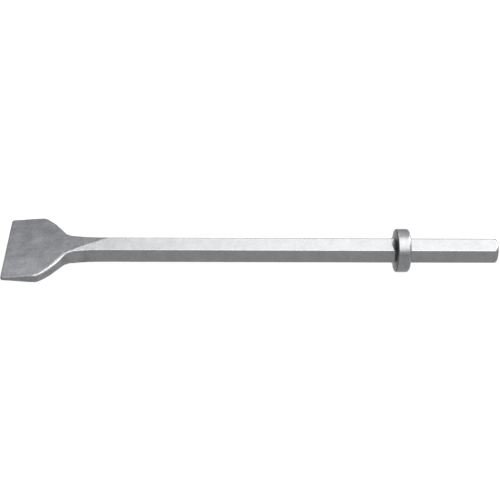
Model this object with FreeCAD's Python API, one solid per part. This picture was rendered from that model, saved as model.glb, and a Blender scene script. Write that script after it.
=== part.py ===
"""Wide demolition chisel: one steel forging, drawn from hexagon bar.

Row frame, millimetres. The tool's axis is X. The origin is on that axis, in the collar's seat,
the face that stops against the hammer's nose. The shank points along +X and the cutting edge
lies at -X. The blade's width runs along Y and its broad faces look up and down, along Z.
The bar's hexagon has two upright flats, facing -Y and +Y, which run on into the blade's sides.

The real tool is a single piece of steel. It is divided here at planes across its axis, and along
the shank's hexagon inside the collar, so that each working region is a solid with its own name.
"""

import FreeCAD
import Part
import math
import os

# ---- driving sizes, millimetres ----------------------------------------------------------------
ACROSS_FLATS = 22.0          # the rolled hexagon bar, and so the shank that the hammer holds
BAR_CORNER_RADIUS = 1.0      # rolled rounding along the bar's six corners

SHANK_LENGTH = 82.5          # collar seat to striking end
SHANK_END_RADIUS = 5.5       # rounding turned round the striking end

COLLAR_DIAMETER = 40.0
COLLAR_THICKNESS = 12.8
COLLAR_SEAT_ROUNDING = 2.5   # rim rounding on the hammer's side
COLLAR_BACK_RUN = 2.0        # length of the easing at the rim on the blade's side
COLLAR_BACK_DROP = 1.3       # how far the back face's rim lies inside the collar's radius

FLARE_LENGTH = 5.4           # upset flare between the bar and the collar's back face
FLARE_ROOT_RADIUS = 4.5      # hollow rounding where the flare leaves the bar
FLARE_ROOT_DEPTH = 0.4       # how far that rounding starts under the bar's flats

REACH = 367.5                # collar seat to cutting edge
BLADE_WIDTH = 100.0
BLADE_SIDE_LENGTH = 32.0     # the parallel sides, cutting edge to shoulder
FLANK_RUN = 23.0             # shoulder to neck, along the axis
FLANK_BULGE = 2.8            # how far each flank bows outwards from a straight line
SHOULDER_RADIUS = 8.0        # outside rounding, side to flank
NECK_RADIUS = 16.0           # inside rounding, flank to taper
NECK_TAPER_LENGTH = 22.0     # the blade's sides close in on the bar's flats over this length
NECK_TAPER_DROP = 3.2        # how far each side closes in
TAPER_END_RADIUS = 40.0      # inside rounding, taper to bar
EDGE_CORNER_RADIUS = 2.0     # the cutting edge's two corners, in plan

EDGE_THICKNESS = 1.8         # the ground edge, left blunt
BEVEL_LENGTH = 1.2           # ground bevel behind the edge
BEVEL_BACK_THICKNESS = 2.9
BEVEL_BEND_RADIUS = 0.8      # rounding where the ground bevel meets the broad face
SHOULDER_THICKNESS = 8.2
RUNOUT_LENGTH = 38.2         # where the broad faces climb from the neck to the bar's top corner
BROAD_BEND_RADIUS = 60.0     # where one slope of the broad faces runs into the next
BAR_IN_BLADE = 6.0           # how far the bar's hexagon is carried into the blade, past the neck
BLADE_EDGE_RADIUS = 1.3      # rounding between the broad faces and the sides

# ---- sizes that follow from those --------------------------------------------------------------
HALF_FLATS = ACROSS_FLATS / 2
CORNER_RADIUS = HALF_FLATS / math.cos(math.radians(30))   # axis to a sharp corner of the hexagon
HALF_SIDE = CORNER_RADIUS / 2                             # half the height of an upright flat
COLLAR_RADIUS = COLLAR_DIAMETER / 2
COLLAR_BACK_RADIUS = COLLAR_RADIUS - COLLAR_BACK_DROP

EDGE_X = -REACH
SHOULDER_X = EDGE_X + BLADE_SIDE_LENGTH
NECK_X = SHOULDER_X + FLANK_RUN
TAPER_END_X = NECK_X + NECK_TAPER_LENGTH
RUNOUT_X = NECK_X + RUNOUT_LENGTH
COLLAR_BACK_X = -COLLAR_THICKNESS
FLARE_X = COLLAR_BACK_X - FLARE_LENGTH

HALF_WIDTH = BLADE_WIDTH / 2
NECK_HALF_WIDTH = HALF_FLATS + NECK_TAPER_DROP
FLANK_DROP = HALF_WIDTH - NECK_HALF_WIDTH
FLANK_CHORD = math.hypot(FLANK_RUN, FLANK_DROP)
TAPER_TURN = math.atan2(NECK_TAPER_DROP, NECK_TAPER_LENGTH)
BLADE_END_MARGIN = 1.0       # straight stretch kept between the taper's rounding and the dividing plane
BLADE_END_X = TAPER_END_X + TAPER_END_RADIUS * math.tan(TAPER_TURN / 2) + BLADE_END_MARGIN

BEYOND = 20.0                # how far a cutting body stands past what it cuts
X_AXIS = FreeCAD.Vector(1, 0, 0)


def point(x, y, z):
    return FreeCAD.Vector(x, y, z)


def line(a, b):
    return Part.LineSegment(a, b).toShape()


def arc(a, middle, b):
    return Part.Arc(a, middle, b).toShape()


def face_of(edges):
    return Part.Face(Part.Wire(edges))


def slab(x_from, x_to):
    """Everything between two planes across the axis."""
    half = BLADE_WIDTH + BEYOND
    return Part.makeBox(x_to - x_from, 2 * half, 2 * half, point(x_from, -half, -half))


def hexagon_bar(x_from, x_to):
    """Bar with its six long corners rounded and its flats facing -Y and +Y."""
    corners = [
        point(x_from, CORNER_RADIUS * math.cos(math.radians(30 + 60 * k)),
              CORNER_RADIUS * math.sin(math.radians(30 + 60 * k)))
        for k in range(6)
    ]
    sharp = Part.Face(Part.makePolygon(corners + corners[:1])).extrude(X_AXIS * (x_to - x_from))
    long_edges = [e for e in sharp.Edges if abs(e.tangentAt(e.FirstParameter).x) > 0.5]
    return sharp.makeFillet(BAR_CORNER_RADIUS, long_edges)


def turned(outline):
    """Solid of revolution about the tool's axis, from (x, radius) edges that close on the axis."""
    return face_of(outline).revolve(point(0, 0, 0), X_AXIS, 360)


# ---- blade and neck ----------------------------------------------------------------------------
def flank_middle(side):
    """The point of a flank's arc that bows furthest out, on side +1 or -1."""
    outward_x = FLANK_DROP / FLANK_CHORD
    outward_y = FLANK_RUN / FLANK_CHORD
    return point((SHOULDER_X + NECK_X) / 2 + FLANK_BULGE * outward_x,
                 side * ((HALF_WIDTH + NECK_HALF_WIDTH) / 2 + FLANK_BULGE * outward_y), 0)


def outline_edges(side):
    """One side of the blade seen from above: parallel side, flank, taper, then the bar's flat."""
    shoulder = point(SHOULDER_X, side * HALF_WIDTH, 0)
    neck = point(NECK_X, side * NECK_HALF_WIDTH, 0)
    taper_end = point(TAPER_END_X, side * HALF_FLATS, 0)
    return [
        line(point(EDGE_X, side * HALF_WIDTH, 0), shoulder),
        arc(shoulder, flank_middle(side), neck),
        line(neck, taper_end),
        line(taper_end, point(BLADE_END_X, side * HALF_FLATS, 0)),
    ]


def round_upright(body, x, radius):
    """Round the body's upright edges that stand at x."""
    upright = [e for e in body.Edges
               if e.BoundBox.XLength < 1e-6 and e.BoundBox.YLength < 1e-6
               and abs(e.CenterOfMass.x - x) < 1e-6]
    return body.makeFillet(radius, upright)


def outline_prism():
    """The blade's outline as an upright prism, rounded at its shoulders and its neck."""
    across_end = line(point(BLADE_END_X, HALF_FLATS, 0), point(BLADE_END_X, -HALF_FLATS, 0))
    across_edge = line(point(EDGE_X, -HALF_WIDTH, 0), point(EDGE_X, HALF_WIDTH, 0))
    ends = [across_end, across_edge]
    outline = face_of(Part.__sortEdges__(outline_edges(1) + outline_edges(-1) + ends))
    prism = outline.extrude(point(0, 0, ACROSS_FLATS))
    prism.translate(point(0, 0, -HALF_FLATS))
    for x, radius in ((SHOULDER_X, SHOULDER_RADIUS), (NECK_X, NECK_RADIUS), (TAPER_END_X, TAPER_END_RADIUS)):
        prism = round_upright(prism, x, radius)
    return prism


def bent_line(points, radius):
    """Edges through (x, z) points in the side view, with each inner corner eased by a tangent arc."""
    edges = []
    start = point(points[0][0], 0, points[0][1])
    for before, corner, after in zip(points, points[1:], points[2:]):
        corner = point(corner[0], 0, corner[1])
        back = (point(before[0], 0, before[1]) - corner).normalize()
        ahead = (point(after[0], 0, after[1]) - corner).normalize()
        half_turn = (math.pi - back.getAngle(ahead)) / 2
        reach = radius * math.tan(half_turn)
        inward = (back + ahead).normalize()
        bend_from, bend_to = corner + back * reach, corner + ahead * reach
        middle = corner + inward * radius * (1 / math.cos(half_turn) - 1)
        edges += [line(start, bend_from), arc(bend_from, middle, bend_to)]
        start = bend_to
    return edges + [line(start, point(points[-1][0], 0, points[-1][1]))]


def prism_across(upper):
    """Everything, at any width, between the side-view edges given and their mirror image below."""
    lower = [edge.mirror(point(0, 0, 0), point(0, 0, 1)) for edge in upper]
    ends = [upper[0].Vertexes[0].Point, upper[-1].Vertexes[-1].Point]
    closing = [line(end, point(end.x, 0, -end.z)) for end in ends]
    section = face_of(Part.__sortEdges__(upper + lower + closing))
    section.translate(point(0, -BLADE_WIDTH, 0))
    return section.extrude(point(0, 2 * BLADE_WIDTH, 0))


def ground_tip():
    """The stretch behind the cutting edge that grinding leaves: bevelled, with its two corners rounded."""
    upper = [(EDGE_X, EDGE_THICKNESS / 2), (EDGE_X + BEVEL_LENGTH, BEVEL_BACK_THICKNESS / 2),
             (SHOULDER_X, ACROSS_FLATS), (RUNOUT_X, ACROSS_FLATS)]
    width = Part.makeBox(RUNOUT_X - EDGE_X, BLADE_WIDTH, 2 * ACROSS_FLATS,
                         point(EDGE_X, -HALF_WIDTH, -ACROSS_FLATS))
    width = round_upright(width, EDGE_X, EDGE_CORNER_RADIUS)
    return prism_across(bent_line(upper, BEVEL_BEND_RADIUS)).common(width)


def blade_with_neck():
    """Cutting edge, blade and neck in one body, before it is divided."""
    slopes = [(EDGE_X, BEVEL_BACK_THICKNESS / 2), (SHOULDER_X, SHOULDER_THICKNESS / 2), (NECK_X, HALF_SIDE)]
    level = [(BLADE_END_X, HALF_SIDE)]
    wide = outline_prism().common(prism_across(bent_line(slopes + level, BROAD_BEND_RADIUS)))
    rims = [e for e in wide.Edges
            if e.BoundBox.XLength > 1e-6 and abs(e.CenterOfMass.z) > BEVEL_BACK_THICKNESS / 2]
    wide = wide.makeFillet(BLADE_EDGE_RADIUS, rims).common(ground_tip())
    ramp = prism_across(bent_line([slopes[1], slopes[2], (RUNOUT_X, CORNER_RADIUS)], BROAD_BEND_RADIUS))
    bar = hexagon_bar(NECK_X - BAR_IN_BLADE, RUNOUT_X).common(ramp)
    return wide.fuse(bar).removeSplitter()


# ---- bar, collar and shank ---------------------------------------------------------------------
def flare_outline():
    """(x, radius) outline of the upset flare: a hollow root, then a steep cone to the collar."""
    root = HALF_FLATS - FLARE_ROOT_DEPTH
    run = COLLAR_BACK_X - FLARE_X
    rise = COLLAR_BACK_RADIUS - root
    # the cone leaves the root's arc at the angle that carries it to the collar's back rim
    angle = cone_angle(run, rise)
    start = point(FLARE_X, root, 0)
    middle = point(FLARE_X + FLARE_ROOT_RADIUS * math.sin(angle / 2),
                   root + FLARE_ROOT_RADIUS * (1 - math.cos(angle / 2)), 0)
    leave = point(FLARE_X + FLARE_ROOT_RADIUS * math.sin(angle),
                  root + FLARE_ROOT_RADIUS * (1 - math.cos(angle)), 0)
    rim = point(COLLAR_BACK_X, COLLAR_BACK_RADIUS, 0)
    axis_near, axis_far = point(FLARE_X, 0, 0), point(COLLAR_BACK_X, 0, 0)
    return [line(axis_near, start), arc(start, middle, leave), line(leave, rim), line(rim, axis_far),
            line(axis_far, axis_near)]


def cone_angle(run, rise):
    """Angle of the tangent from the point (run, rise) to the root's circle, centred at (0, its radius)."""
    away = math.hypot(run, rise - FLARE_ROOT_RADIUS)
    towards_centre = math.atan2(rise - FLARE_ROOT_RADIUS, run)
    return towards_centre + math.asin(FLARE_ROOT_RADIUS / away)


def make_collar_flare():
    return turned(flare_outline()).fuse(hexagon_bar(FLARE_X, COLLAR_BACK_X)).removeSplitter()


def make_collar():
    """Round collar, open along the hexagon that runs through it to the flare."""
    back_x = COLLAR_BACK_X
    back = point(back_x, COLLAR_BACK_RADIUS, 0)
    back_top = point(back_x + COLLAR_BACK_RUN, COLLAR_RADIUS, 0)
    back_middle = rounding_middle(back, back_top)
    seat_top = point(-COLLAR_SEAT_ROUNDING, COLLAR_RADIUS, 0)
    seat = point(0, COLLAR_RADIUS - COLLAR_SEAT_ROUNDING, 0)
    centre = point(-COLLAR_SEAT_ROUNDING, COLLAR_RADIUS - COLLAR_SEAT_ROUNDING, 0)
    diagonal = COLLAR_SEAT_ROUNDING * math.sqrt(0.5)
    seat_middle = centre + point(diagonal, diagonal, 0)
    axis_near, axis_far = point(back_x, 0, 0), point(0, 0, 0)
    outline = [line(axis_near, back), arc(back, back_middle, back_top), line(back_top, seat_top),
               arc(seat_top, seat_middle, seat), line(seat, axis_far), line(axis_far, axis_near)]
    return turned(outline).cut(hexagon_bar(back_x, 0))


def rounding_middle(low, high):
    """Middle of the arc from low up to high that meets the collar's rim without a kink."""
    run, drop = high.x - low.x, high.y - low.y
    radius = (run ** 2 + drop ** 2) / (2 * drop)
    centre = point(high.x, high.y - radius, 0)
    return centre + ((low + high) * 0.5 - centre).normalize() * radius


def make_shank():
    """Hexagon that the hammer holds, from the flare through the collar to the rounded striking end."""
    x_end, radius = SHANK_LENGTH, SHANK_END_RADIUS
    start_x = x_end - radius
    top = point(start_x, CORNER_RADIUS, 0)
    centre = point(start_x, CORNER_RADIUS - radius, 0)
    diagonal = radius * math.sqrt(0.5)
    outline = [line(point(COLLAR_BACK_X, 0, 0), point(COLLAR_BACK_X, CORNER_RADIUS, 0)),
               line(point(COLLAR_BACK_X, CORNER_RADIUS, 0), top),
               arc(top, centre + point(diagonal, diagonal, 0), point(x_end, CORNER_RADIUS - radius, 0)),
               line(point(x_end, CORNER_RADIUS - radius, 0), point(x_end, 0, 0)),
               line(point(x_end, 0, 0), point(COLLAR_BACK_X, 0, 0))]
    return hexagon_bar(COLLAR_BACK_X, x_end).common(turned(outline))


def make_shaft():
    return hexagon_bar(RUNOUT_X, FLARE_X)


def main():
    os.makedirs("parts", exist_ok=True)
    forged = blade_with_neck()
    nodes = {
        "cutting_edge": forged.common(slab(EDGE_X - BEYOND, SHOULDER_X)),
        "blade": forged.common(slab(SHOULDER_X, BLADE_END_X)),
        "neck": forged.common(slab(BLADE_END_X, RUNOUT_X + BEYOND)),
        "shaft": make_shaft(),
        "collar_flare": make_collar_flare(),
        "collar": make_collar(),
        "shank": make_shank(),
    }
    for name, shape in nodes.items():
        solids = shape.Solids
        if len(solids) != 1 or not solids[0].isValid():
            raise ValueError(f"{name} isn't one valid solid: {len(solids)}")
        solids[0].exportStep(f"parts/{name}.step")
        box = solids[0].BoundBox
        print(f"{name}: {solids[0].Volume / 1000:.2f} cm3, x {box.XMin:.2f} to {box.XMax:.2f}, "
              f"y {box.YMin:.2f} to {box.YMax:.2f}, z {box.ZMin:.2f} to {box.ZMax:.2f}")


main()
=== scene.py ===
# %% [markdown]
# # A wide chisel for a demolition hammer
#
# This lesson finishes a steel forging: a long hexagon bar with a thin wide blade at one end, and a
# round collar and a plain hexagon shank at the other. The CAD model has already fixed every size.
# Here each of its regions gets the soft edges, the slight unevenness and the satin skin that hot
# forging and shot-blasting leave, and then the whole is lit and looked at.
#
# The first cell loads the CAD model as a fixed frame. Everything is in metres, in the CAD's own axes:
# X runs along the tool, with the cutting edge at the low end, Y across the blade, Z upwards.

# %% Load the frame
import math

import bpy
import numpy as np
from mathutils import Matrix, Vector


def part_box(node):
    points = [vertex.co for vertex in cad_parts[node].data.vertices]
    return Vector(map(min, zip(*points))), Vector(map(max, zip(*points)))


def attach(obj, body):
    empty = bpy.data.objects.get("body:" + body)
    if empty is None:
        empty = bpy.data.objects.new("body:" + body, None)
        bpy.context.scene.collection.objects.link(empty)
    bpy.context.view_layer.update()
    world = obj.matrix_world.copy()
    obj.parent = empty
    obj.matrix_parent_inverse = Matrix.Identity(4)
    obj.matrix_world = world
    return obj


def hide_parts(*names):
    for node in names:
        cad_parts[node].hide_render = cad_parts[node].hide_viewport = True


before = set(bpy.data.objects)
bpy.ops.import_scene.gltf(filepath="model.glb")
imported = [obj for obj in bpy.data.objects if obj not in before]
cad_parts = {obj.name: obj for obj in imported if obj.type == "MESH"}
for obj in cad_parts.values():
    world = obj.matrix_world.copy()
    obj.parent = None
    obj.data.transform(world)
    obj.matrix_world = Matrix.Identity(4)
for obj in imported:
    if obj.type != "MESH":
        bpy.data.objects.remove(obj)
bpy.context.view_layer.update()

print("CAD regions:", sorted(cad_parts))

# %% [markdown]
# ## Sizes
#
# A finished piece has to sit exactly where its CAD region sits, so the places where one region ends
# and the next begins are read from the regions' boxes. Only what a box can't tell, such as how far
# the flanks bow out, is written here as a number.

# %% Read the stations along the tool
MM = 0.001

edge_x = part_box("cutting_edge")[0].x
shoulder_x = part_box("cutting_edge")[1].x
blade_end_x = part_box("blade")[1].x
runout_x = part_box("neck")[1].x
flare_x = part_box("shaft")[1].x
collar_back_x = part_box("collar_flare")[1].x
seat_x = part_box("collar")[1].x
end_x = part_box("shank")[1].x

half_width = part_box("cutting_edge")[1].y
half_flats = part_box("shaft")[1].y
collar_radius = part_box("collar")[1].y
corner_radius = half_flats / math.cos(math.radians(30))
half_side = corner_radius / 2

FLANK_RUN = 23.0 * MM
neck_x = shoulder_x + FLANK_RUN

print(f"edge {edge_x:.4f}, shoulder {shoulder_x:.4f}, neck {neck_x:.4f}, run-out {runout_x:.4f}")
print(f"flare {flare_x:.4f}, collar {collar_back_x:.4f} to {seat_x:.4f}, striking end {end_x:.4f}")

# %% [markdown]
# ## Two curves that shape the blade
#
# A smith would describe the blade with two drawings: its outline from above, and its thickness from
# the side. Both start as lines with sharp corners. A forging has no sharp corners, because hot steel
# doesn't fill a die's sharp edges, so each line is walked in tiny equal steps and averaged with a
# bell-shaped window. A straight stretch stays straight and a corner turns into a smooth bend, whose
# size follows the window's width. This is simpler than fitting arcs, and it rounds every corner alike.


# %% Soften a line
def softened(points, width, step=0.05 * MM):
    """Walk the line through the points in equal steps, then replace each coordinate by its weighted mean
    over a bell-shaped window of the given width. The ends are carried on straight, so that they
    don't shrink."""
    points = np.asarray(points, float)
    first = points[0] - 4 * width * unit(points[1] - points[0])
    last = points[-1] + 4 * width * unit(points[-1] - points[-2])
    points = np.vstack([first, points[1:-1], last])
    reach = np.concatenate([[0], np.cumsum(np.linalg.norm(np.diff(points, axis=0), axis=1))])
    walk = np.arange(0, reach[-1], step)
    line = np.column_stack([np.interp(walk, reach, points[:, k]) for k in (0, 1)])
    offsets = np.arange(-3 * width, 3 * width + step, step)
    window = np.exp(-0.5 * (offsets / width) ** 2)
    window /= window.sum()
    return np.column_stack([np.convolve(line[:, k], window, mode="valid") for k in (0, 1)])


def unit(vectors):
    """Vectors divided by their own length."""
    vectors = np.asarray(vectors, float)
    return vectors / np.maximum(np.linalg.norm(vectors, axis=-1, keepdims=True), 1e-12)


# %% The outline from above
FLANK_BULGE = 2.8 * MM
NECK_HALF_WIDTH = 13.9 * MM
TAPER_LENGTH = 22.0 * MM
CORNER_ROUNDING = 2.0 * MM
SHOULDER_SOFTENING = 2.3 * MM
NECK_SOFTENING = 5.6 * MM

chord = np.array([neck_x - shoulder_x, NECK_HALF_WIDTH - half_width])
outward = unit([-chord[1], chord[0]])
along = np.linspace(0, 1, 25)[:, None]
flank = [shoulder_x, half_width] + along * chord + 4 * FLANK_BULGE * along * (1 - along) * outward

shoulder_side = np.vstack([[edge_x - 0.02, half_width], flank[:20]])
neck_side = np.vstack([flank[5:], [neck_x + TAPER_LENGTH, half_flats], [flare_x, half_flats]])
shoulder_curve = softened(shoulder_side, SHOULDER_SOFTENING)
neck_curve = softened(neck_side, NECK_SOFTENING)


def half_width_at(x):
    """Half the blade's width. Up to the middle of the flank it follows the line rounded for the shoulder,
    after it the line rounded for the neck. Quarter circles round the two corners of the cutting edge."""
    middle = (shoulder_x + neck_x) / 2
    front = np.interp(x, shoulder_curve[:, 0], shoulder_curve[:, 1])
    rear = np.interp(x, neck_curve[:, 0], neck_curve[:, 1])
    width = np.where(x < middle, front, rear)
    depth = np.clip((edge_x + CORNER_ROUNDING - x) / CORNER_ROUNDING, 0, 1)
    return width - CORNER_ROUNDING * (1 - np.sqrt(1 - depth ** 2))


print("half width at the shoulder and at the neck:",
      half_width_at(np.array([shoulder_x, neck_x])).round(4))

# %% The thickness from the side
EDGE_HALF = 0.9 * MM
BEVEL_HALF = 1.45 * MM
BEVEL_LENGTH = 1.2 * MM
SHOULDER_HALF = 4.1 * MM
BAR_CORNER_ROUNDING = 1.0 * MM
THICKNESS_SOFTENING = 1.6 * MM

top_of_bar = corner_radius - BAR_CORNER_ROUNDING * (1 / math.cos(math.radians(30)) - 1)
thickness_curve = softened(
    [[edge_x, BEVEL_HALF], [shoulder_x, SHOULDER_HALF], [neck_x, half_side],
     [runout_x, corner_radius], [runout_x + 0.04, corner_radius]], THICKNESS_SOFTENING)


def half_height_at(x):
    """Half the height of the section: the softened side-view line, cut down behind the cutting edge by a
    quarter ellipse for the ground tip, and never above the bar's own rounded corner."""
    height = np.interp(x, thickness_curve[:, 0], thickness_curve[:, 1])
    depth = np.clip(1 - (x - edge_x) / BEVEL_LENGTH, 0, 1)
    height = height - (BEVEL_HALF - EDGE_HALF) * (1 - np.sqrt(np.clip(1 - depth ** 2, 0, 1)))
    return np.minimum(height, top_of_bar)


print("half height at the edge, shoulder and neck:",
      half_height_at(np.array([edge_x, shoulder_x, neck_x])).round(5))

# %% [markdown]
# ## One section that can be a blade or a bar
#
# Cut across anywhere, the tool shows a shape with eight corners. In the blade it is a long thin
# rectangle. In the bar it is a hexagon whose top and bottom corners are each split in two, so close
# together that they make one rounded corner. In between, the two upper corners are where the broad
# face meets the hexagon's slanting faces: joined from section to section, they draw the slanted
# crease that runs out at the top of the bar.
#
# The upper half is worked out from the right-hand side over the top to the left, and turned over to
# give the lower one. Every corner is a conic arc that touches both of its edges, written as a
# weighted curve between three points, which a whole array of sections can share.
#
# Where the flank turns into the bar, rim and crease would meet in one point and leave no room for
# the rounding of the rim. So the crease is kept a few millimetres inside the rim there.


# %% Corners and straight edges
SIDE_STEPS = 7
CORNER_STEPS = 9
BROAD_STEPS = 30
CREASE_STEPS = 5
TOP_STEPS = 6


def corner_points(corner, before, after, steps, fullness=1.0):
    """Points from before, round the corner, to after: each a weighted mean of the three, with weights
    (1-s)^2, 2s(1-s)w and s^2, where w is the fullness times the cosine of half the turn. That makes a
    conic arc, and a fullness below 1 flattens it towards a bevel."""
    turn = np.sum(unit(corner - before) * unit(after - corner), axis=-1)
    weight = (fullness * np.sqrt(np.clip((1 + turn) / 2, 0, 1)))[:, None, None]
    s = np.linspace(0, 1, steps)[None, :, None]
    low, middle, high = (1 - s) ** 2, 2 * s * (1 - s) * weight, s ** 2
    total = low + middle + high
    return (low * before[:, None] + middle * corner[:, None] + high * after[:, None]) / total


def edge_points(start, end, steps):
    """Evenly spaced points strictly between start and end."""
    s = (np.arange(1, steps + 1) / (steps + 1))[None, :, None]
    return start[:, None] * (1 - s) + end[:, None] * s


print("points on a rounded corner:", CORNER_STEPS, "on a broad face:", 2 * BROAD_STEPS + TOP_STEPS)


# %% Where the rim and the crease run
def rim_rounding(x):
    """Size of the rounding between the broad faces and the sides. It grows along the flank, is largest
    shortly before the flank turns into the bar, and then shrinks to the rolled corner of the hexagon."""
    places = [edge_x, shoulder_x - 7 * MM, shoulder_x + 1 * MM, neck_x - 8 * MM, neck_x - 3 * MM,
              neck_x + 6 * MM, neck_x + TAPER_LENGTH]
    sizes = np.array([0.9, 1.0, 1.6, 2.7, 2.3, 0.9, 0.577]) * MM
    return np.interp(x, places, sizes)


def rim_fullness(x):
    """Fullness of that rounding: 1 on the blade's sides and the bar, and half that, nearly a bevel, along
    the flanks."""
    places = [shoulder_x - 3 * MM, shoulder_x + 3 * MM, neck_x - 6 * MM, neck_x + 4 * MM]
    return 1 - 0.5 * np.interp(x, places, [0, 1, 1, 0])


def crease_at(x, width, height, shoulder_height):
    """Half the distance between the two upper corners. Behind the neck it is where the broad face meets
    the hexagon's slanting face, which falls 1 for each square root of 3 sideways. In the blade it is
    0.4 of the bar's half width at the cutting edge, and grows with the fourth power of the distance
    from there. At the neck it also stays 3 mm inside the rim, and that margin fades out both ways."""
    on_slant = np.maximum(width - (height - shoulder_height) * math.sqrt(3), 0.3 * MM)
    share = np.clip((x - edge_x) / (neck_x - edge_x), 0, 1)
    in_blade = half_flats * 0.4 + (NECK_HALF_WIDTH - half_flats * 0.4) * share ** 4
    crease = np.where(x < neck_x, np.minimum(in_blade, on_slant), on_slant)
    margin = np.interp(x, neck_x + np.array([-12, -2, 2, 14]) * MM, [0, 3, 3, 0]) * MM
    return np.minimum(crease, width - margin)


# %% A whole section
def section(x):
    """Closed rings of (y, z) points, one ring for each x: the upper half from the right-hand side over the
    top to the left, then the same points below, in the opposite order."""
    width, height = half_width_at(x), half_height_at(x)
    shoulder_height = np.minimum(height, half_side)
    crease = crease_at(x, width, height, shoulder_height)
    lean = np.gradient(width, x, edge_order=1)

    side = np.column_stack([width, np.zeros_like(x)])
    rim = np.column_stack([width, shoulder_height])
    ridge = np.column_stack([crease, height])
    flipped = np.array([-1.0, 1.0])

    # Where the outline leans, a section crosses the rim at a slant, so the rounding reaches further in.
    # It never takes more than 0.8 of the side or 0.6 of the face beside it.
    rim_size = rim_rounding(x)
    up = np.minimum(rim_size, 0.8 * shoulder_height)[:, None]
    room = np.linalg.norm(ridge - rim, axis=1)
    inwards = np.minimum(rim_size * np.sqrt(1 + np.minimum(lean ** 2, 6.0)), 0.6 * room)[:, None]
    ease = np.minimum(0.5 * MM, 0.9 * crease)[:, None]

    below_rim = rim - up * [0, 1]
    past_rim = rim + inwards * unit(ridge - rim)
    before_ridge = ridge - np.minimum(ease, 0.3 * room[:, None]) * unit(ridge - rim)
    past_ridge = ridge - ease * [1, 0]

    right = [
        edge_points(side, below_rim, 2 * SIDE_STEPS)[:, ::2],
        corner_points(rim, below_rim, past_rim, CORNER_STEPS, rim_fullness(x)),
        edge_points(past_rim, before_ridge, BROAD_STEPS),
        corner_points(ridge, before_ridge, past_ridge, CREASE_STEPS),
    ]
    left = [part[:, ::-1] * flipped for part in reversed(right)]
    top = edge_points(past_ridge, past_ridge * flipped, TOP_STEPS)
    upper = np.concatenate(right + [top] + left, axis=1)
    return np.concatenate([upper, upper[:, ::-1] * [1, -1]], axis=1)


ring = section(np.linspace(edge_x, end_x, 5))
print("points in one ring:", ring.shape[1])

# %% [markdown]
# ## Turned shapes on a hexagon
#
# The collar is upset: the hot bar is squeezed lengthwise in a die until the steel swells into a
# flare and a disc. That is a turned shape, given by how far it stands from the axis at each point
# along it. The ring of points around the bar is kept, and each point is pushed outwards to
# whichever is larger, the hexagon or the turned shape. A plain maximum would leave a sharp line
# where one takes over, so a soft maximum is used, which rounds that line off.
# The striking end is the other way round. There a turned rounding cuts the hexagon's corners away,
# which is a soft minimum.


# %% Soft maximum and the turned profile
def soft_max(a, b, ease):
    """The larger of a and b. Where they differ by less than ease, a parabola joins the two."""
    near = np.maximum(ease - np.abs(a - b), 0)
    return np.maximum(a, b) + near ** 2 / (4 * ease)


def arc(centre, radius, start, stop, steps):
    """Points of an arc about centre, from one angle to another, in degrees."""
    angle = np.radians(np.linspace(start, stop, steps))
    return np.column_stack([centre[0] + radius * np.cos(angle), centre[1] + radius * np.sin(angle)])


FLARE_ROOT = 4.5 * MM
ROOT_DEPTH = 0.4 * MM
CONE_ANGLE = 77.6
SEAT_ROUNDING = 2.5 * MM
BACK_RUN, BACK_DROP = 2.1 * MM, 1.5 * MM
END_ROUNDING = 5.5 * MM

root_low = half_flats - ROOT_DEPTH
root = arc((flare_x, root_low + FLARE_ROOT), FLARE_ROOT, -90, -90 + CONE_ANGLE, 16)
back_centre = np.array([collar_back_x + BACK_RUN, collar_radius - BACK_DROP])
back = back_centre + arc((0, 0), 1.0, 165, 90, 15) * [BACK_RUN, BACK_DROP]
cone = root[-1] + np.linspace(0, 1, 9)[1:, None] * (back[0] - root[-1])
back = back[1:]
band_x = np.linspace(back[-1, 0], seat_x - SEAT_ROUNDING, 11)[1:]
band = np.column_stack([band_x, np.full_like(band_x, collar_radius)])
rim = arc((seat_x - SEAT_ROUNDING, collar_radius - SEAT_ROUNDING), SEAT_ROUNDING, 90, 0, 11)[1:]
seat_r = np.linspace(rim[-1, 1], half_flats - 1.0 * MM, 18)[1:]
seat = np.column_stack([np.full_like(seat_r, seat_x), seat_r])
turned = np.vstack([root, cone, back, band, rim, seat])
print("turned profile:", len(turned), "steps, largest radius", turned[:, 1].max().round(4))

# %% [markdown]
# ## The skin of the whole forging
#
# The real tool is one piece, so nothing should show where a region stops. The safest way to get
# that is to work out one skin for the whole length and to cut it afterwards. Both sides of a cut
# then share their points and also the direction in which light leaves them. The sections are
# closest together at the ground tip and on the roundings, where the shape bends most.


# %% Lay out the sections
def spaced(start, stop, step):
    """Places from start to stop, evenly spaced and no further apart than step."""
    return np.linspace(start, stop, int(math.ceil((stop - start) / step)) + 1)


TIP_LENGTH = 2.2 * MM
PAST_SEAT = 0.4 * MM
tip = edge_x + TIP_LENGTH * (1 - np.cos(np.linspace(0, math.pi / 2, 9)))
stations = {
    "cutting_edge": np.concatenate([tip, spaced(tip[-1], shoulder_x, 0.9 * MM)[1:]]),
    "blade": spaced(shoulder_x, blade_end_x, 0.7 * MM),
    "neck": spaced(blade_end_x, runout_x, 0.9 * MM),
    "shaft": spaced(runout_x, flare_x, 1.5 * MM),
}
end_arc = arc((end_x - END_ROUNDING, corner_radius - END_ROUNDING), END_ROUNDING, 90, 0, 15)
shank_x = np.concatenate([seat_x + PAST_SEAT * np.linspace(0, 1, 3)[1:],
                          spaced(seat_x + PAST_SEAT, end_x - END_ROUNDING, 1.5 * MM)[1:],
                          end_arc[1:, 0]])

plain_x = np.concatenate([stations["cutting_edge"], stations["blade"][1:], stations["neck"][1:],
                          stations["shaft"][1:]])
all_x = np.concatenate([plain_x, turned[1:, 0], shank_x])
swell = np.concatenate([np.zeros(len(plain_x)), turned[1:, 1], np.zeros(len(shank_x))])
swell_ease = np.interp(all_x, [flare_x, collar_back_x, seat_x], [1.2 * MM, 1.0 * MM, 0.8 * MM])
print("sections along the tool:", len(all_x))

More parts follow.
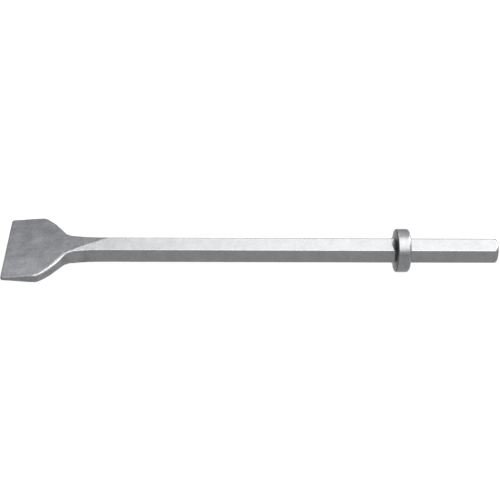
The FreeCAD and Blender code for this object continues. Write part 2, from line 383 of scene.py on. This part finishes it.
# %% Build the skin
FADE_RINGS = 6
END_EASE = 0.4 * MM
NO_CUT = 1.0

bar_x = np.linspace(runout_x + 0.05, runout_x + 0.06, 2)
bar_ring = section(bar_x)[0]
blade_part = section(plain_x)
bar_part = np.broadcast_to(bar_ring, (len(all_x) - len(plain_x),) + bar_ring.shape)
rings = np.concatenate([blade_part, bar_part])

# The turned shape comes in over the first few rings of the flare, so it starts without a step.
radius = np.linalg.norm(rings, axis=2)
swollen = soft_max(radius, swell[:, None], swell_ease[:, None])
fade = np.clip((np.arange(len(all_x)) - (len(plain_x) - 1)) / FADE_RINGS, 0, 1)[:, None]
swollen = radius + (swollen - radius) * fade

cut = np.interp(all_x, end_arc[:, 0], end_arc[:, 1], left=NO_CUT)
trimmed = -soft_max(-swollen, -cut[:, None], END_EASE)
rings = rings * (trimmed / radius)[..., None]

skin = np.concatenate([np.broadcast_to(all_x[:, None, None], rings.shape[:2] + (1,)), rings], axis=2)
print("skin:", skin.shape[0], "by", skin.shape[1], "points")

# %% [markdown]
# ## Slight unevenness
#
# A die-forged face is flat to the hand but not to the eye: a reflection in it wavers. A few dozen
# long, low waves in random directions, added together, do this. They depend only on where a point
# is, so they run on from one region to the next. The blade was spread under the hammer and
# moves the most. The bar was rolled, and the shank and the collar are held by the hammer, so they
# stay truer.


# %% Waves on the skin
def waves(points, shortest, longest, count, seed):
    """Sum of sine waves with random directions, lengths between the two given, and random starts."""
    rng = np.random.default_rng(seed)
    direction = unit(rng.normal(size=(count, 3)))
    length = np.exp(rng.uniform(math.log(shortest), math.log(longest), count))
    phase = rng.uniform(0, 2 * math.pi, count)
    turns = points @ (direction * (2 * math.pi / length)[:, None]).T + phase
    return np.sin(turns).sum(axis=-1) / math.sqrt(count)


def directions(points):
    """Outward direction at each point: the cross product of the step to the next section and the step
    around the ring. Where sections coincide, the neighbouring steps stand in."""
    along = np.gradient(points, axis=0)
    around = (np.roll(points, -1, axis=1) - np.roll(points, 1, axis=1)) / 2
    return unit(np.cross(around, along))


outwards = directions(skin)
wave_places = [edge_x, edge_x + 4 * MM, shoulder_x, neck_x, runout_x, flare_x, seat_x, end_x]
wave_heights = np.array([0.0, 0.03, 0.05, 0.05, 0.035, 0.03, 0.02, 0.0]) * MM
lift = waves(skin, 7 * MM, 30 * MM, 36, seed=4) * np.interp(all_x, wave_places, wave_heights)[:, None]
skin = skin + outwards * lift[..., None]
outwards = directions(skin)
print("largest wave, mm:", (abs(lift).max() / MM).round(3))

# %% [markdown]
# ## Where edges wear and where shade is painted
#
# Blasting and handling brighten whatever stands proud. How sharply the skin bends outwards says
# where that is, so it is worked out here and stored in each mesh as an attribute named edge_wear.
# The freshly ground cutting edge is left out. On the steep back face of the collar, behind it,
# shade is painted: a second attribute says where the colour is darkened to near-black there.
# A material can read both, and the pattern then follows the real shape of the piece.


# %% Bend of the skin
def across(values):
    """Step from the neighbour before to the neighbour after, around the ring."""
    return np.roll(values, -1, axis=1) - np.roll(values, 1, axis=1)


def turn_rate(step, turn):
    """How much of the turn goes along the step, divided by the step's length squared."""
    return np.sum(step * turn, axis=-1) / np.maximum(np.sum(step ** 2, axis=-1), 1e-12)


def outward_bend(points, normals):
    """How fast the outward direction turns from point to point, per metre, taking the sharper of the two
    ways across the skin. It is positive on an outside edge and negative in a hollow."""
    around = turn_rate(across(points), across(normals))
    along = turn_rate(np.gradient(points, axis=0), np.gradient(normals, axis=0))
    return np.maximum(around, along)


LEAST_BEND, BEND_RANGE = 120, 700
edge_wear = np.clip((outward_bend(skin, outwards) - LEAST_BEND) / BEND_RANGE, 0, 1)
edge_wear *= np.clip((all_x - edge_x - 1.5 * MM) / (4 * MM), 0, 1)[:, None]

# Painted shade: the collar's steep back face, outside the bar, is marked so that its colour can be
# darkened.
from_axis = np.linalg.norm(skin[..., 1:], axis=2)
behind_collar = np.interp(all_x, collar_back_x + np.array([-1.6, -0.8, 0.8, 1.6]) * MM, [0, 1, 1, 0])
painted_collar_shade = behind_collar[:, None] * np.clip((from_axis - corner_radius) / (1.5 * MM), 0, 1)
print("share of the skin that is edge:", (edge_wear > 0.5).mean().round(3),
      "and sheltered:", (painted_collar_shade > 0.5).mean().round(4))

# %% [markdown]
# ## Cut the skin into its regions
#
# Each region is a run of rings. Neighbouring rings are joined by four-sided faces, and each end is
# closed by joining every point of the upper half to its mirror point below, so that every piece is
# a closed solid. The light-directions worked out above are stored with the corners of the
# faces, so the shading runs on across a cut, while the flat end faces stay flat.


# %% Make a piece from a run of rings
def ring_faces(rows, count):
    """Corner numbers of the faces between neighbouring rings."""
    row, column = np.meshgrid(np.arange(rows - 1), np.arange(count), indexing="ij")
    following = (column + 1) % count
    corners = [row * count + column, row * count + following,
               (row + 1) * count + following, (row + 1) * count + column]
    return np.stack(corners, axis=-1).reshape(-1, 4)


def cap_faces(count, offset, facing_up):
    """Corner numbers of the strips that close a ring, from each upper point to its mirror below."""
    j = np.arange(count // 2 - 1)
    strips = np.column_stack([j, j + 1, count - 2 - j, count - 1 - j]) + offset
    return strips if facing_up else strips[:, ::-1]


def store(mesh, name, values):
    """Keep one number for each point of the mesh, as an attribute of that name."""
    attribute = mesh.attributes.new(name, "FLOAT", "POINT")
    attribute.data.foreach_set("value", values.ravel().astype(np.float32))


def make_region(name, first, last):
    """A closed mesh from rings first to last, with its own directions for light and its attributes."""
    points = skin[first:last + 1]
    rows, count = points.shape[:2]
    sides = ring_faces(rows, count)
    caps = [cap_faces(count, 0, False), cap_faces(count, (rows - 1) * count, True)]
    faces = np.vstack([sides] + caps)

    mesh = bpy.data.meshes.new(name)
    mesh.from_pydata(points.reshape(-1, 3).tolist(), [], faces.tolist())
    mesh.shade_smooth()
    lights = outwards[first:last + 1].reshape(-1, 3)[sides].reshape(-1, 3)
    ends = [np.tile([sign, 0.0, 0.0], (cap.size, 1)) for sign, cap in zip((-1.0, 1.0), caps)]
    mesh.normals_split_custom_set(np.vstack([lights] + ends).tolist())
    store(mesh, "edge_wear", edge_wear[first:last + 1])
    # The mark for the painted shade on the back face of the collar.
    store(mesh, "painted_collar_shade", painted_collar_shade[first:last + 1])

    piece = bpy.data.objects.new(name, mesh)
    bpy.context.scene.collection.objects.link(piece)
    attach(piece, "root")
    print(f"{name}: {rows} rings, {len(faces)} faces")
    return piece


# %% Cut at the CAD's planes
rows_of = {}
start = 0
for node in ("cutting_edge", "blade", "neck", "shaft"):
    rows_of[node] = (start, start + len(stations[node]) - 1)
    start = rows_of[node][1]
flare_end = start + len(root) + len(cone) - 1
seat_row = start + len(turned) - 1
rows_of["collar_flare"] = (start, flare_end)
rows_of["collar"] = (flare_end, seat_row)
rows_of["shank"] = (seat_row, len(all_x) - 1)

slots = {"cutting_edge": "blade_steel", "blade": "blade_steel", "neck": "bar_steel",
         "shaft": "bar_steel", "collar_flare": "collar_steel", "collar": "collar_steel",
         "shank": "bar_steel"}
pieces = {}
for node, (first, last) in rows_of.items():
    piece = make_region("steel_" + node, first, last)
    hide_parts(node)
    pieces[node] = piece

# %% [markdown]
# ## The steel
#
# The surface is bare alloy steel, hardened and then blasted with shot. Blasting leaves a fine even
# grain of dimples, which turns a mirror into satin: the reflection is still there but soft. Patches
# where the forging scale held on are a little darker and rougher, and edges are a little brighter.
#
# All of it is built from noise on Object coordinates, in metres, so that a number such as 500 means
# features of about two millimetres. A metal's base colour says how much of what it mirrors comes
# back. It is a dark, even grey with a slight mottle. The rest comes from roughness and small bumps.


# %% Node helpers
def add_node(tree, kind, inputs=None, **settings):
    """A node of that kind, with its settings and the values of its input sockets."""
    node = tree.nodes.new(kind)
    for key, value in settings.items():
        setattr(node, key, value)
    for key, value in (inputs or {}).items():
        node.inputs[key].default_value = value
    return node


def noise(tree, where, scale, detail=3.0, roughness=0.55, stretch=(1, 1, 1)):
    """Soft random pattern, from 0 to 1, that can be stretched along an axis."""
    place = add_node(tree, "ShaderNodeMapping", {"Scale": stretch})
    tree.links.new(where, place.inputs["Vector"])
    pattern = add_node(tree, "ShaderNodeTexNoise",
                       {"Scale": scale, "Detail": detail, "Roughness": roughness})
    tree.links.new(place.outputs["Vector"], pattern.inputs["Vector"])
    return pattern.outputs["Fac"]


def remap(tree, value, low, high, to_low, to_high):
    """Carry the range low to high onto the range to_low to to_high, and hold it at the ends."""
    node = add_node(tree, "ShaderNodeMapRange",
                    {"From Min": low, "From Max": high, "To Min": to_low, "To Max": to_high})
    tree.links.new(value, node.inputs["Value"])
    return node.outputs["Result"]


def combine(tree, operation, a, b):
    """Arithmetic on two values, each a socket or a number."""
    node = add_node(tree, "ShaderNodeMath", operation=operation)
    for socket, value in zip(node.inputs, (a, b)):
        if isinstance(value, (int, float)):
            socket.default_value = value
        else:
            tree.links.new(value, socket)
    return node.outputs["Value"]


def mix_colour(tree, factor, a, b):
    """Mix of two colours, each a socket or a plain colour."""
    node = add_node(tree, "ShaderNodeMix", data_type="RGBA")
    tree.links.new(factor, node.inputs["Factor"])
    for index, value in ((6, a), (7, b)):
        if isinstance(value, tuple):
            node.inputs[index].default_value = value + (1.0,)
        else:
            tree.links.new(value, node.inputs[index])
    return node.outputs[2]


def times(tree, a, b):
    """Product of two values, each a socket or a number."""
    return combine(tree, "MULTIPLY", a, b)


def plus(tree, a, b):
    """Sum of two values, each a socket or a number."""
    return combine(tree, "ADD", a, b)


# %% Blasted steel
# Near-black colour of the painted shade on the collar's back face, and how much of it goes in.
PAINTED_SHADE_BLACK = (0.03, 0.03, 0.032)
PAINTED_SHADE_COVER = 0.75
GRAIN_DEPTH = 0.12 * MM


def blasted_steel(name, colour, dark, roughness, mottle, grain, streaks=0.0):
    """Satin steel: two sizes of mottling in the colour and the roughness, sparse dark scale, brighter
    edges, painted shade in near-black on the back face of the collar where the mesh marks it, and a
    bump made of fine shot grain, wider dimples and, on rolled bar, faint lengthwise streaks."""
    material = bpy.data.materials.new(name)
    material.use_nodes = True
    tree = material.node_tree
    tree.nodes.clear()
    where = add_node(tree, "ShaderNodeTexCoord").outputs["Object"]
    worn = add_node(tree, "ShaderNodeAttribute", attribute_name="edge_wear").outputs["Fac"]
    # Where shade is painted: the back face of the collar.
    painted_shade_mask = add_node(tree, "ShaderNodeAttribute", attribute_name="painted_collar_shade").outputs["Fac"]

    broad = noise(tree, where, 90.0, detail=4.0)
    fine = noise(tree, where, 520.0, detail=4.0, roughness=0.65)
    scale_marks = noise(tree, where, 240.0, detail=5.0, roughness=0.7)

    mottling = plus(tree, times(tree, broad, 0.45), times(tree, fine, 0.55))
    shade = remap(tree, mottling, 0.35, 0.65, 0.0, 1.0)
    low = tuple(c * (1 - mottle) for c in colour)
    high = tuple(c * (1 + mottle) for c in colour)
    base = mix_colour(tree, shade, low, high)
    marked = remap(tree, scale_marks, 0.62, 0.74, 0.0, 0.55)
    base = mix_colour(tree, marked, base, dark)
    bright = tuple(min(1.0, c * 1.5) for c in colour)
    rubbed = times(tree, remap(tree, worn, 0.1, 1.0, 0.0, 0.8), remap(tree, fine, 0.3, 0.6, 0.5, 1.0))
    base = mix_colour(tree, rubbed, base, bright)
    # Painted shade: the collar's back face is mixed towards near-black.
    base = mix_colour(tree, times(tree, painted_shade_mask, PAINTED_SHADE_COVER), base, PAINTED_SHADE_BLACK)

    gloss = remap(tree, mottling, 0.3, 0.7, roughness - 0.04, roughness + 0.05)
    gloss = plus(tree, gloss, times(tree, marked, 0.15))
    gloss = combine(tree, "SUBTRACT", gloss, times(tree, rubbed, 0.06))

    shot = noise(tree, where, 1500.0, detail=2.0, roughness=0.5)
    dimples = add_node(tree, "ShaderNodeTexVoronoi", {"Scale": 700.0, "Randomness": 1.0},
                       feature="SMOOTH_F1")
    tree.links.new(where, dimples.inputs["Vector"])
    height = plus(tree, times(tree, shot, 0.5), times(tree, dimples.outputs["Distance"], 0.5))
    height = plus(tree, height, times(tree, broad, 0.6))
    if streaks:
        rolled = noise(tree, where, 420.0, detail=3.0, stretch=(0.06, 1, 1))
        height = plus(tree, height, times(tree, rolled, streaks))
    bump = add_node(tree, "ShaderNodeBump", {"Strength": grain, "Distance": GRAIN_DEPTH})
    tree.links.new(height, bump.inputs["Height"])

    shader = add_node(tree, "ShaderNodeBsdfPrincipled", {"Metallic": 1.0})
    tree.links.new(base, shader.inputs["Base Color"])
    tree.links.new(gloss, shader.inputs["Roughness"])
    tree.links.new(bump.outputs["Normal"], shader.inputs["Normal"])
    output = add_node(tree, "ShaderNodeOutputMaterial")
    tree.links.new(shader.outputs["BSDF"], output.inputs["Surface"])
    print("finish:", name)
    return material


STEEL = (0.185, 0.187, 0.193)
finishes = {
    "blade_steel": blasted_steel("forged_blade_steel", STEEL, dark=(0.09, 0.09, 0.10),
                                 roughness=0.42, mottle=0.28, grain=0.75),
    "bar_steel": blasted_steel("rolled_bar_steel", STEEL, dark=(0.13, 0.13, 0.14),
                               roughness=0.36, mottle=0.12, grain=0.45, streaks=0.4),
    "collar_steel": blasted_steel("upset_collar_steel", STEEL, dark=(0.12, 0.12, 0.13),
                                  roughness=0.36, mottle=0.14, grain=0.5),
}
for node, piece in pieces.items():
    piece.data.materials.append(finishes[slots[node]])

# %% [markdown]
# ## The table
#
# A tool that is laid down tips until it rests on two places with its balance point between them.
# Here these are the collar and the last of the bar at the neck, so the cutting edge hangs a little
# above the table. That needn't be worked out by hand. Of all the planes that lie under every point
# of the tool, the one it rests on is the highest at the balance point. So planes of many slopes are
# tried. The balance point is given as a number, found from the volumes of the CAD's regions. A table
# laid by eye could cut into the steel, which shows only from below.
#
# It is a white light table. It glows strongly and gives back little of the light that falls on it, so
# the tool casts hardly any shadow.


# %% White table
def plain_material(name, colour, glow):
    """An even matt surface that also gives off some light."""
    material = bpy.data.materials.new(name)
    material.use_nodes = True
    shader = material.node_tree.nodes["Principled BSDF"]
    shader.inputs["Base Color"].default_value = colour + (1.0,)
    shader.inputs["Roughness"].default_value = 0.9
    shader.inputs["Specular IOR Level"].default_value = 0.0
    shader.inputs["Emission Color"].default_value = (1.0, 1.0, 1.0, 1.0)
    shader.inputs["Emission Strength"].default_value = glow
    return material


def side_view(piece):
    """The (x, z) place of every point of a piece."""
    places = np.empty(3 * len(piece.data.vertices))
    piece.data.vertices.foreach_get("co", places)
    return places.reshape(-1, 3)[:, [0, 2]]


def height_under(slope):
    """Height, at the balance point, of the highest plane of this slope that lies under every point."""
    return (outline[:, 1] - slope * (outline[:, 0] - BALANCE_X)).min()


TABLE_SPAN = 6.0
TABLE_CLEARANCE = 0.05 * MM
BALANCE_X = -0.145

outline = np.vstack([side_view(piece) for piece in pieces.values()])
slopes = np.linspace(-0.08, 0.08, 321)
heights = np.array([height_under(slope) for slope in slopes])
slope = slopes[heights.argmax()]
xs = np.array([-TABLE_SPAN, TABLE_SPAN, TABLE_SPAN, -TABLE_SPAN])
ys = np.array([-TABLE_SPAN, -TABLE_SPAN, TABLE_SPAN, TABLE_SPAN])
zs = heights.max() - TABLE_CLEARANCE + slope * (xs - BALANCE_X)
table_mesh = bpy.data.meshes.new("white_table")
table_mesh.from_pydata(np.column_stack([xs, ys, zs]).tolist(), [], [(0, 1, 2, 3)])
table_mesh.materials.append(plain_material("white_table", (0.06, 0.06, 0.06), 0.98))
table = bpy.data.objects.new("white_table", table_mesh)
bpy.context.scene.collection.objects.link(table)
print("table slope, degrees:", round(math.degrees(math.atan(slope)), 2))

# %% [markdown]
# ## Light
#
# Satin steel shows what it mirrors, so each light is placed for the face that should mirror it. One
# wide soft light hangs over the tool and towards the viewer, and the bar's upper face sends it to the
# eye. The broad face of the blade mirrors the room behind the tool instead, and stays grey. A low
# softbox stands close behind the blade, so that the near part of the broad face mirrors more of it
# than the far part. Another on the right draws the bright line along the rim of the near flank. The
# room is pale on the right and dim on the left. The lower faces mirror the table, and this
# difference between the faces is what models the hexagon.


# %% Soft lights
def soft_light(name, size_x, size_y, radiance, place, turn=(0.0, 0.0, 0.0)):
    """A rectangular soft light. Its power is its area times pi times the radiance, so that making it
    larger doesn't make it look brighter in a reflection."""
    lamp = bpy.data.lights.new(name, "AREA")
    lamp.shape = "RECTANGLE"
    lamp.size, lamp.size_y = size_x, size_y
    lamp.energy = radiance * math.pi * lamp.size * lamp.size_y
    holder = bpy.data.objects.new(name, lamp)
    holder.location, holder.rotation_euler = place, turn
    holder.visible_camera = False
    bpy.context.scene.collection.objects.link(holder)
    print(f"{name}: {lamp.energy:.1f} W")
    return lamp


LIGHT_HEIGHT = 2.0
light_low_x, light_high_x = -0.50, 1.9
light_low_y, light_high_y = -3.1, 0.42
overhead = soft_light("overhead_softbox", light_high_x - light_low_x, light_high_y - light_low_y, 5.0,
                      ((light_low_x + light_high_x) / 2, (light_low_y + light_high_y) / 2, LIGHT_HEIGHT))
overhead.color = (1.0, 0.995, 0.975)

RIGHT_DISTANCE, RIGHT_SIZE = 1.6, 0.7
to_the_right = Vector((0.8, 0.25, 0.62)).normalized()
soft_light("right_softbox", RIGHT_SIZE, RIGHT_SIZE, 14.0,
           to_the_right * RIGHT_DISTANCE + Vector((-0.15, 0.0, 0.0)),
           to_the_right.to_track_quat("Z", "Y").to_euler())

BACK_WIDTH, BACK_HEIGHT, BACK_FOOT = 0.7, 0.3, 0.185
soft_light("back_softbox", BACK_WIDTH, BACK_HEIGHT, 2.4,
           (-0.32, 0.2, BACK_FOOT + BACK_HEIGHT / 2), (-math.pi / 2, 0.0, 0.0))

# %% Room
DIM_WALL = (0.25, 0.25, 0.26)
PALE_WALL = (0.80, 0.81, 0.83)
room = bpy.data.worlds.new("grey_room")
room.use_nodes = True
place = add_node(room.node_tree, "ShaderNodeTexCoord").outputs["Generated"]
compass = add_node(room.node_tree, "ShaderNodeSeparateXYZ")
room.node_tree.links.new(place, compass.inputs["Vector"])
lit = remap(room.node_tree, compass.outputs["X"], -0.6, -0.25, 0.0, 1.0)
walls = mix_colour(room.node_tree, lit, DIM_WALL, PALE_WALL)
room.node_tree.links.new(walls, room.node_tree.nodes["Background"].inputs["Color"])
bpy.context.scene.world = room
bpy.context.scene.view_settings.view_transform = "Standard"
print("room: dim on the left", DIM_WALL, "pale on the right", PALE_WALL)

# %% [markdown]
# ## Camera
#
# The camera stands a little over a metre away with a long lens, about a third of a right angle above
# the table. That is near enough for the side of the blade towards it to look longer than the far
# side. It is turned a little to the right and rolled, which puts the long tool level across the frame.

# %% Place the camera
ELEVATION = 31.5
DISTANCE = 1.2
EYE_X = -0.2095
AIM_X = -0.1462
ROLL = 2.035
LENS = 94.43
eye = bpy.data.cameras.new("eye")
eye.sensor_width = 36.0
eye.lens = LENS
camera = bpy.data.objects.new("eye", eye)
raised = math.radians(ELEVATION)
camera.location = (EYE_X, -DISTANCE * math.cos(raised), DISTANCE * math.sin(raised))
line_of_sight = Vector((AIM_X, 0.0, 0.0)) - camera.location
unrolled = line_of_sight.to_track_quat("-Z", "Y").to_matrix()
camera.rotation_euler = (unrolled @ Matrix.Rotation(math.radians(ROLL), 3, "Z")).to_euler()
bpy.context.scene.collection.objects.link(camera)
bpy.context.scene.camera = camera
print("camera at", [round(v, 3) for v in camera.location])
